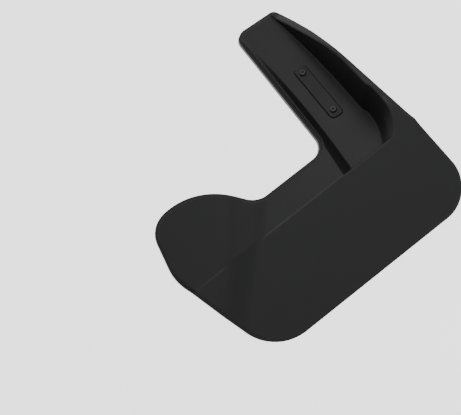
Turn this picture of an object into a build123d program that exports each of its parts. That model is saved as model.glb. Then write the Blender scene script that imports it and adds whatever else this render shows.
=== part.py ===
from build123d import *
import os
from math import atan, cos, pi, radians, sin, tan

# A moulded front mud flap for the left side of a vehicle, as it hangs in use.
# +X is outboard, +Y is rearward, +Z is up. All sizes are in millimetres.
# The origin is the middle of the clamping face on the back of the arm.

# Moulding
wall = 3.0                      # skin of the flap
plate_wall = 4.5                # thicker floor of the arm, which the fasteners pull on
rim_depth = 13.0                # how far the rim turns back, square to the skin
ledge_width = 3.5               # ledge all round, between the skin's edge and the rim
ledge_drop = 5.0                # how far the ledge lies behind the skin
crest_radius = 5.0              # rounding where flap panel and arm meet

# Side view: two flat panels that meet at the crest
arm_lean = 30.0                 # degrees, top rearward
flap_rake = 16.0                # degrees, bottom rearward

# Front view, from the crest line and the arm's root: X outboard, Z up
arm_top_z = 221.5
arm_top_drop = 3.0              # the top edge is lower at its outboard end
arm_top_inboard_x = 70.0
arm_top_outboard_x = 131.5
arm_root_x = 41.5               # arm's inboard edge at the notch
notch_z = 35.0                  # upper edge of the shelf
shoulder_x = 148.5              # widest place beside the arm
shoulder_z = 158.5
shoulder_radius = 310.0
waist_radius = 135.0
waist_x = 143.0                 # outboard edge at the crest
flap_outboard_x = 163.0
flap_bottom_z = -119.0
flap_inboard_x = -150.0
bottom_rise = 3.0               # the bottom edge is higher at its inboard end
ear_tip_x = -190.5
ear_tip_z = 22.0
ear_shoulder_x = -171.5
ear_shoulder_z = 90.5
ear_top_x = -95.5
ear_top_z = 98.0
neck_x = -59.5

# The ear stands back from the shelf by a soft step that runs aslant
ear_setback = 12.0
step_x = -110.0                 # where the step crosses the crest line
step_width = 40.0
step_slant = 45.0               # degrees from vertical
step_sections = 7

# Arm pocket: its floor is set back from the shelf
recess_top = 3.0
recess_crest = 13.0
pocket_height = 60.0            # the cutter's height above the floor, clear of the fin
pocket_runout = 24.0            # the floor runs out through the top edge by this much

# Fin: hollow rib that stands forward beside the pocket
fin_slope = 21.0                # degrees, outer skin
fin_knee_z = 44.0               # up to here its front carries on the flap panel's plane
fin_crown_z = 122.0
fin_crown_height = 35.0         # square to the arm
fin_top_z = 208.0
fin_knee_radius = 50.0
fin_crown_radius = 150.0
fin_inboard_x = 100.0

# Name plate, left blank, and its two screws
badge_x = 90.9                  # its middle on the pocket floor
badge_s = 116.5
badge_tilt = 6.8                # degrees, so that it runs with the arm
badge_length = 88.0
badge_width = 16.0
badge_thickness = 2.0
badge_corner = 5.0
badge_gap = 0.4                 # groove left round it
badge_sink = 1.2                # depth of its seat in the floor
screw_pitch = 67.7
screw_radius = 2.0
screw_hole_clearance = 0.25
screw_grip = 2.4                # length of the shank in the floor
head_radius = 4.3
head_height = 2.2
socket_radius = 1.45            # across the corners of the hexagon
socket_depth = 1.4

# Pilot dimples on the back, where the holes are drilled on fitting
dimple_radius = 3.3
dimple_depth = 1.2
dimple_core_radius = 1.4
arm_dimples = [(86.5, 32.0), (102.5, 226.0)]     # on the pocket floor: X and distance from the crest
ear_dimple = (-168.0, 52.0)                      # front view

# Clamping face on the back of the arm
clamp_x = 86.0
clamp_s = 125.0                 # along the floor of the pocket, from the crest

lean = radians(arm_lean)
rake = radians(flap_rake)
arm_length = arm_top_z / cos(lean)
floor_lean = lean - atan((recess_crest - recess_top) / arm_length)

# The crest line's place, seen from the origin
crest = Vector(
    -clamp_x,
    -(recess_crest * cos(lean) + clamp_s * sin(floor_lean) + plate_wall * cos(floor_lean)),
    recess_crest * sin(lean) - clamp_s * cos(floor_lean) + plate_wall * sin(floor_lean),
)
front_view = Plane(origin=crest, x_dir=(1, 0, 0), z_dir=(0, -1, 0))
side_view = Plane(origin=crest, x_dir=(0, 1, 0), z_dir=(1, 0, 0))
arm_plane = Plane(origin=crest, x_dir=(1, 0, 0), z_dir=(0, -cos(lean), sin(lean)))
floor_plane = Plane(
    origin=crest + Vector(0, recess_crest * cos(lean), -recess_crest * sin(lean)),
    x_dir=(1, 0, 0),
    z_dir=(0, -cos(floor_lean), sin(floor_lean)),
)
reach = 400.0                   # longer than the part, for prisms that are cut down later
low_end = -200.0                # past the bottom and the top of the part
high_end = 300.0
deep = 90.0                     # well behind the rim
skin_back = 170.0               # the sloped skin's block, behind the arm's front and before it
skin_front = 90.0

# The rim's outline, clockwise from the arm's top: X, Z and rounding of each corner
outline = [
    (arm_top_inboard_x, arm_top_z, 17),
    (arm_top_outboard_x, arm_top_z - arm_top_drop, 8),
    (shoulder_x, shoulder_z, shoulder_radius),
    (waist_x, 0, waist_radius),
    (flap_outboard_x, flap_bottom_z, 43),
    (flap_inboard_x, flap_bottom_z + bottom_rise, 61),
    (ear_tip_x, ear_tip_z, 58),
    (ear_shoulder_x, ear_shoulder_z, 34),
    (ear_top_x, ear_top_z, 80),
    (neck_x, notch_z, 22),
    (arm_root_x, notch_z, 20),
]


def outline_prism(inset):
    """The flap's outline in front view, moved inward by inset, as a long prism along Y."""
    corners = [Vector(x, z) for x, z, _ in outline]
    moved, radii = [], []
    for i, corner in enumerate(corners):
        before = (corner - corners[i - 1]).normalized()
        after = (corners[(i + 1) % len(corners)] - corner).normalized()
        inward = Vector(before.Y + after.Y, -before.X - after.X)
        moved.append(corner + inward * (inset / (1 + before.dot(after))))
        turns_out = before.cross(after).Z < 0
        radii.append(outline[i][2] - inset if turns_out else outline[i][2] + inset)
    with BuildPart() as prism:
        with BuildSketch(front_view):
            with BuildLine():
                FilletPolyline(*moved, radius=radii, close=True)
            make_face()
        extrude(amount=reach, both=True)
    return prism.part


def side_corners(inset, depth, low, high):
    """Side view as (Y, Z): the front skin moved in by inset, and the back at depth."""
    def flap_at(d, z):
        return (-z * tan(rake) + d / cos(rake), z)

    def arm_at(d, z):
        return (z * tan(lean) + d / cos(lean), z)

    def knee(d):
        z = (d / cos(rake) - d / cos(lean)) / (tan(lean) + tan(rake))
        return arm_at(d, z)

    return [flap_at(inset, low), knee(inset), arm_at(inset, high),
            arm_at(depth, high), knee(depth), flap_at(depth, low)]


def station(s):
    """Plane across the slanted step, s along it: its X is rearward and its Y runs downward."""
    a = radians(step_slant)
    setback = ear_setback * (1 - cos(pi * (s / step_width + 0.5))) / 2
    if s <= -step_width / 2:
        setback = 0
    if s >= step_width / 2:
        setback = ear_setback
    origin = crest + Vector(step_x - s * sin(a), setback, s * cos(a))
    return Plane(origin=origin, x_dir=(0, 1, 0), z_dir=(-sin(a), 0, cos(a)))


def panels(inset, depth):
    """The two flat panels as one solid, with the ear set back from them."""
    corners = side_corners(inset, depth, low_end, high_end)
    bend = max(crest_radius - inset, 0)      # sharp once it is deeper than the crest's rounding
    rounding = [0, bend, 0, 0, 0, 0]
    half = step_width / 2
    mid_notch = side_view.offset((neck_x + arm_root_x) / 2)
    with BuildPart() as arm_side:
        with BuildSketch(mid_notch):
            with BuildLine():
                FilletPolyline(*corners, radius=rounding, close=True)
            make_face()
        extrude(amount=reach)
    with BuildPart() as shelf_side:
        with BuildSketch(mid_notch):
            with BuildLine():
                FilletPolyline(*corners, radius=rounding, close=True)
            make_face()
        extrude(amount=-reach)
        split(bisect_by=station(-half), keep=Keep.BOTTOM)
    with BuildPart() as ear:
        with BuildSketch(Plane(origin=mid_notch.origin + Vector(0, ear_setback, 0), x_dir=(0, 1, 0), z_dir=(1, 0, 0))):
            with BuildLine():
                FilletPolyline(*corners, radius=rounding, close=True)
            make_face()
        extrude(amount=-reach)
        split(bisect_by=station(half), keep=Keep.TOP)
    with BuildPart() as step:
        for i in range(step_sections):
            plane = station(-half + step_width * i / (step_sections - 1))
            drop = plane.origin.Z - crest.Z
            across = [(y, (drop - z) / cos(radians(step_slant))) for y, z in corners]
            with BuildSketch(plane):
                with BuildLine():
                    FilletPolyline(*across, radius=rounding, close=True)
                make_face()
        loft()
        split(bisect_by=mid_notch, keep=Keep.BOTTOM)
    with BuildPart() as whole:
        add(arm_side.part)
        add(shelf_side.part)
        add(ear.part)
        add(step.part)
    return whole.part


def fin_block(inset):
    """Region behind the fin's front edge, between the crest and the arm's top."""
    def before_flap(z):
        return (-z * tan(rake) + inset / cos(rake), z)

    def before_arm(z, height):
        return (z * tan(lean) - (height - inset) / cos(lean), z)

    top = before_arm(fin_top_z, 0)
    side = [
        before_flap(-1), before_flap(fin_knee_z), before_arm(fin_crown_z, fin_crown_height),
        top, (top[0] + rim_depth, fin_top_z), (rim_depth, -1),
    ]
    rounding = [0, fin_knee_radius - inset, fin_crown_radius - inset, 0, 0, 0]
    with BuildPart() as block:
        with BuildSketch(side_view.offset(fin_inboard_x + inset)):
            with BuildLine():
                FilletPolyline(*side, radius=rounding, close=True)
            make_face()
        extrude(amount=reach)
    return block.part


def skin_block(inset):
    """Everything inboard of the sloped outer skin, which runs from the ledge up to the fin."""
    stretch = 1 / cos(lean)
    slope = radians(fin_slope)
    beyond = 2 * arm_top_z          # well past both ends of the slope
    top_z = arm_top_z - arm_top_drop
    top_run = (arm_top_outboard_x - shoulder_x) / (top_z - shoulder_z)
    low_run = (flap_outboard_x - waist_x) / flap_bottom_z
    edge = [
        (shoulder_x + top_run * (beyond - shoulder_z), beyond), (shoulder_x, shoulder_z),
        (waist_x, 0), (waist_x - low_run * beyond, -beyond),
    ]
    with BuildPart() as block:
        for height in (-skin_back, skin_front):
            shift = -ledge_width - (height + ledge_drop) * tan(slope) - inset / cos(slope)
            corners = [(-reach, -beyond * stretch), (-reach, beyond * stretch)]
            corners += [(x + shift, z * stretch) for x, z in edge]
            with BuildSketch(arm_plane.offset(height)):
                with BuildLine():
                    FilletPolyline(*corners, radius=[0, 0, 0, shoulder_radius, waist_radius, 0], close=True)
                make_face()
        loft(ruled=True)
    return block.part


def pocket_block(grow, sink):
    """The arm's pocket, grown sideways and sunk below its floor, up to clear of the fin."""
    end = arm_length + pocket_runout
    foot = [(48, 0), (66, 120), (75, end), (122, end), (120.4, 150), (111.8, 60), (113.8, 51), (109.5, 31), (91, 0)]
    flare = [(-72, 0), (-72, 0), (-72, 0), (10, 0), (10, 0), (12, 0), (12, 0), (20, -3), (72, 0)]
    with BuildPart() as block:
        for height, share in ((-sink, 0), (pocket_height, 1)):
            p = [(x + share * dx, s + share * ds) for (x, s), (dx, ds) in zip(foot, flare)]
            with BuildSketch(floor_plane.offset(height)):
                with BuildLine():
                    ThreePointArc(p[0], p[1], p[2])
                    Line(p[2], p[3])
                    ThreePointArc(p[3], p[4], p[5])
                    Line(p[5], p[6])
                    ThreePointArc(p[6], p[7], p[8])
                    Line(p[8], p[0])
                make_face()
                if grow:
                    offset(amount=grow, kind=Kind.ARC)
        loft(ruled=True)
    return block.part


def body_form(inset, depth):
    """The flap as a solid block with its front skin moved in by inset."""
    with BuildPart() as form:
        add(panels(inset, depth))
        add(fin_block(inset))
        add(outline_prism(ledge_width + inset), mode=Mode.INTERSECT)
        add(skin_block(inset), mode=Mode.INTERSECT)
    return form.part


def rim_block(inset, depth):
    """The rim as a solid slab behind the ledge, its outside moved in by inset."""
    with BuildPart() as slab:
        add(panels(ledge_drop + inset, depth))
        add(outline_prism(inset), mode=Mode.INTERSECT)
    return slab.part


badge_plane = Plane(
    origin=floor_plane.from_local_coords(Vector(badge_x, badge_s, 0)),
    x_dir=floor_plane.x_dir.rotate(Axis((0, 0, 0), floor_plane.z_dir), -badge_tilt),
    z_dir=floor_plane.z_dir,
)
screw_places = [(0, -screw_pitch / 2), (0, screw_pitch / 2)]
ear_skin_y = ear_dimple[1] * tan(lean) + ear_setback + wall / cos(lean)
ear_back = Plane(
    origin=crest + Vector(ear_dimple[0], ear_skin_y, ear_dimple[1]),
    x_dir=(1, 0, 0),
    z_dir=(0, cos(lean), -sin(lean)),
)

with BuildPart() as flap:
    add(body_form(0, rim_depth))
    add(rim_block(0, rim_depth))
    add(body_form(wall, deep), mode=Mode.SUBTRACT)
    add(rim_block(wall, deep), mode=Mode.SUBTRACT)
    add(pocket_block(wall, plate_wall) & body_form(0, deep))
    add(pocket_block(0, 0), mode=Mode.SUBTRACT)
    # seat and pilot holes of the name plate
    with BuildSketch(badge_plane):
        RectangleRounded(badge_width + 2 * badge_gap, badge_length + 2 * badge_gap, badge_corner + badge_gap)
    extrude(amount=-badge_sink, mode=Mode.SUBTRACT)
    with BuildSketch(badge_plane.offset(-badge_sink)):
        with Locations(*screw_places):
            Circle(screw_radius)
    extrude(amount=-screw_grip, mode=Mode.SUBTRACT)
    # pilot dimples: a ring round a low core
    with BuildSketch(floor_plane.offset(-plate_wall)):
        with Locations(*arm_dimples):
            Circle(dimple_radius)
            Circle(dimple_core_radius, mode=Mode.SUBTRACT)
    extrude(amount=dimple_depth, mode=Mode.SUBTRACT)
    with BuildSketch(ear_back):
        Circle(dimple_radius)
        Circle(dimple_core_radius, mode=Mode.SUBTRACT)
    extrude(amount=-dimple_depth, mode=Mode.SUBTRACT)

with BuildPart() as badge:
    with BuildSketch(badge_plane.offset(-badge_sink)):
        RectangleRounded(badge_width, badge_length, badge_corner)
        with Locations(*screw_places):
            Circle(screw_radius + screw_hole_clearance, mode=Mode.SUBTRACT)
    extrude(amount=badge_thickness)

screws = []
for place in screw_places:
    with BuildPart() as screw:
        with BuildSketch(badge_plane.offset(badge_thickness - badge_sink)):
            with Locations(place):
                Circle(head_radius)
        extrude(amount=head_height)
        chamfer(screw.edges().sort_by(Axis(badge_plane.origin, badge_plane.z_dir))[-1], length=0.6)
        with BuildSketch(badge_plane.offset(badge_thickness - badge_sink + head_height)):
            with Locations(place):
                RegularPolygon(socket_radius, 6)
        extrude(amount=-socket_depth, mode=Mode.SUBTRACT)
        with BuildSketch(badge_plane.offset(-badge_sink - screw_grip)):
            with Locations(place):
                Circle(screw_radius)
        extrude(amount=screw_grip + badge_thickness)
    screws.append(screw)

flap.part.label = "flap_moulding"
badge.part.label = "name_plate"
screws[0].part.label = "lower_plate_screw"
screws[1].part.label = "upper_plate_screw"

os.makedirs("parts", exist_ok=True)
export_step(flap.part, "parts/flap_moulding.step")
export_step(badge.part, "parts/name_plate.step")
export_step(screws[0].part, "parts/lower_plate_screw.step")
export_step(screws[1].part, "parts/upper_plate_screw.step")
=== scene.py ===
import math

import bpy
from mathutils import Matrix, Vector


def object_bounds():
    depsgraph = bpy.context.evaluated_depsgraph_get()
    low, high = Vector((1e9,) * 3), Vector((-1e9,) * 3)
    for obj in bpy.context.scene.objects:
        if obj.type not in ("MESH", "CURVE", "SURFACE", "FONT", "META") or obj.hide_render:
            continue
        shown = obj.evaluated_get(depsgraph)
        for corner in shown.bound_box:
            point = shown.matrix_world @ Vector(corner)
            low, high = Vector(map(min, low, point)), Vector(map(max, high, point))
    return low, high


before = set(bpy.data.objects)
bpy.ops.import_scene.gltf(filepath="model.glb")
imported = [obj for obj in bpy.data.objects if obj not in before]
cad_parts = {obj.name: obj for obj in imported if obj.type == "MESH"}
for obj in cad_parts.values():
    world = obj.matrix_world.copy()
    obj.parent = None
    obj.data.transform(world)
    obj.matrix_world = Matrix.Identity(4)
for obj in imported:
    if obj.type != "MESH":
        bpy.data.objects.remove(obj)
cadLow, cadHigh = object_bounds()

MM = 0.001

# One dictionary for each finish. Lengths are in millimetres.
flapPlastic = {
    "colour": "#070708",
    "roughness": 0.4,
    "specular": 0.1,
    "grain": 0.55,
    "grainDepth": 0.05,
    "patch": 45,
    "patchSpread": 0.03,
    "edgeRound": 3.0,        # shading only: the mesh keeps its sharp edges
}
platePlastic = {
    "colour": "#060607",
    "roughness": 0.38,
    "specular": 0.09,
    "grain": 0.3,
    "grainDepth": 0.01,
    "patch": 30,
    "patchSpread": 0.03,
    "edgeRound": 0.4,
}
blackSteel = {
    "colour": "#060606",
    "roughness": 0.36,
    "specular": 0.15,
    "grain": 0.2,
    "grainDepth": 0.01,
    "patch": 10,
    "patchSpread": 0.05,
    "edgeRound": 0.25,
}
# How the grain and the gloss patches are drawn, the same for every finish.
pattern = {
    "grainDetail": 2,
    "grainRoughness": 0.5,
    "bumpStrength": 0.6,
    "patchDetail": 3,
    "patchLow": 0.3,
    "patchHigh": 0.7,
    "edgeSamples": 8,
}
studio = {
    "floorDrop": 250,        # the flap hangs this far above the floor
    "floorSize": 12000,
    "floorRoughness": 0.9,
    "white": "#ffffff",
    "skyStrength": 2.4,
}
# Softboxes: offsets are from the flap's middle, power is in watts.
topSoftbox = {"over": 900, "towards": 500, "size": 700, "power": 4}
frontSoftbox = {"offset": (310, -1260, 20), "size": 350, "power": 9}
lens = {
    "azimuth": -14,          # degrees from straight ahead
    "roll": 38,              # degrees, so that the arm leans to the upper right
    "distance": 1150,
    "focal": 78.1,
    "sensor": 36,
    "aimRight": -0.0779,     # the central ray, off the ray to the crest
    "aimUp": 0.0222,
    "aboveCrest": 24,
    "behindCrest": 14,
}
# Where the flap panel and the arm meet, on the arm's line.
crest = Vector((-86, -73.5, -102)) * MM


def linearColour(text):
    parts = [int(text[i:i + 2], 16) / 255 for i in (1, 3, 5)]
    linear = [p / 12.92 if p <= 0.04045 else ((p + 0.055) / 1.055) ** 2.4 for p in parts]
    return (*linear, 1)


def addNode(tree, kind, settings=(), values=()):
    node = tree.nodes.new(kind)
    for name, value in dict(settings).items():
        setattr(node, name, value)
    for name, value in dict(values).items():
        node.inputs[name].default_value = value
    return node


def makeFinish(name, look):
    finish = bpy.data.materials.new(name)
    finish.use_nodes = True
    tree = finish.node_tree
    tree.nodes.clear()
    output = addNode(tree, "ShaderNodeOutputMaterial")
    shader = addNode(tree, "ShaderNodeBsdfPrincipled", values={
        "Base Color": linearColour(look["colour"]),
        "Specular IOR Level": look["specular"],
    })
    place = addNode(tree, "ShaderNodeTexCoord")
    grain = addNode(tree, "ShaderNodeTexNoise", values={
        "Scale": 1 / (look["grain"] * MM),
        "Detail": pattern["grainDetail"],
        "Roughness": pattern["grainRoughness"],
    })
    corner = addNode(
        tree, "ShaderNodeBevel",
        {"samples": pattern["edgeSamples"]}, {"Radius": look["edgeRound"] * MM},
    )
    bump = addNode(tree, "ShaderNodeBump", values={
        "Strength": pattern["bumpStrength"],
        "Distance": look["grainDepth"] * MM,
    })
    patch = addNode(tree, "ShaderNodeTexNoise", values={
        "Scale": 1 / (look["patch"] * MM),
        "Detail": pattern["patchDetail"],
    })
    spread = addNode(tree, "ShaderNodeMapRange", values={
        "From Min": pattern["patchLow"], "From Max": pattern["patchHigh"],
        "To Min": look["roughness"] - look["patchSpread"],
        "To Max": look["roughness"] + look["patchSpread"],
    })
    tree.links.new(place.outputs["Object"], grain.inputs["Vector"])
    tree.links.new(place.outputs["Object"], patch.inputs["Vector"])
    tree.links.new(grain.outputs["Fac"], bump.inputs["Height"])
    tree.links.new(corner.outputs["Normal"], bump.inputs["Normal"])
    tree.links.new(patch.outputs["Fac"], spread.inputs["Value"])
    tree.links.new(spread.outputs["Result"], shader.inputs["Roughness"])
    tree.links.new(bump.outputs["Normal"], shader.inputs["Normal"])
    tree.links.new(shader.outputs["BSDF"], output.inputs["Surface"])
    return finish


def wear(node, finish):
    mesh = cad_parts[node].data
    mesh.materials.clear()
    mesh.materials.append(finish)


def makeStudio():
    bpy.ops.mesh.primitive_plane_add(size=studio["floorSize"] * MM)
    floor = bpy.context.object
    floor.name = "studioFloor"
    floor.data.transform(Matrix.Translation((0, 0, cadLow.z - studio["floorDrop"] * MM)))
    paint = bpy.data.materials.new("whiteStudioPaint")
    paint.use_nodes = True
    coat = paint.node_tree.nodes["Principled BSDF"]
    coat.inputs["Base Color"].default_value = linearColour(studio["white"])
    coat.inputs["Roughness"].default_value = studio["floorRoughness"]
    floor.data.materials.append(paint)
    world = bpy.data.worlds.new("studioSky")
    world.use_nodes = True
    sky = world.node_tree.nodes["Background"]
    sky.inputs["Color"].default_value = linearColour(studio["white"])
    sky.inputs["Strength"].default_value = studio["skyStrength"]
    bpy.context.scene.world = world


def makeCamera():
    a = math.radians(lens["azimuth"])
    ahead = Vector((-math.sin(a), math.cos(a), 0))
    right = Vector((math.cos(a), math.sin(a), 0))
    up = Vector((0, 0, 1))
    middle = crest + Vector((0, lens["behindCrest"], lens["aboveCrest"])) * MM
    camera = bpy.data.objects.new("studioCamera", bpy.data.cameras.new("studioCamera"))
    bpy.context.scene.collection.objects.link(camera)
    camera.data.lens = lens["focal"]
    camera.data.sensor_width = lens["sensor"]
    roll = math.radians(lens["roll"])
    ray = (ahead + lens["aimRight"] * right + lens["aimUp"] * up).normalized()
    across = math.cos(roll) * right - math.sin(roll) * up
    across = (across - across.dot(ray) * ray).normalized()
    over = across.cross(ray)
    turn = Matrix((across, over, -ray)).transposed().to_4x4()
    camera.matrix_world = Matrix.Translation(middle - lens["distance"] * MM * ahead) @ turn
    bpy.context.scene.camera = camera
    return middle, ahead, over


def addLamp(name, box, spot, target):
    lamp = bpy.data.lights.new(name, "AREA")
    lamp.shape = "DISK"
    lamp.size = box["size"] * MM
    lamp.energy = box["power"]
    holder = bpy.data.objects.new(name, lamp)
    bpy.context.scene.collection.objects.link(holder)
    holder.location = spot
    holder.rotation_mode = "QUATERNION"
    holder.rotation_quaternion = (target - spot).to_track_quat("-Z", "Y")


# Injection-moulded polypropylene with the fine grain of a spark-eroded mould.
mouldedBlackPlastic = makeFinish("mouldedBlackPlastic", flapPlastic)
# A small moulded plate from a polished mould, so it is smoother than the flap.
smoothBlackPlastic = makeFinish("smoothBlackPlastic", platePlastic)
# Cold-headed socket screws with a baked black coating.
coatedBlackSteel = makeFinish("coatedBlackSteel", blackSteel)

wear("flap_moulding", mouldedBlackPlastic)
wear("name_plate", smoothBlackPlastic)
wear("lower_plate_screw", coatedBlackSteel)
wear("upper_plate_screw", coatedBlackSteel)
print("finishes")

middle, ahead, over = makeCamera()
makeStudio()
topSpot = middle + (topSoftbox["over"] * over - topSoftbox["towards"] * ahead) * MM
addLamp("topSoftbox", topSoftbox, topSpot, middle)
addLamp("frontSoftbox", frontSoftbox, middle + Vector(frontSoftbox["offset"]) * MM, middle)
print("studio")
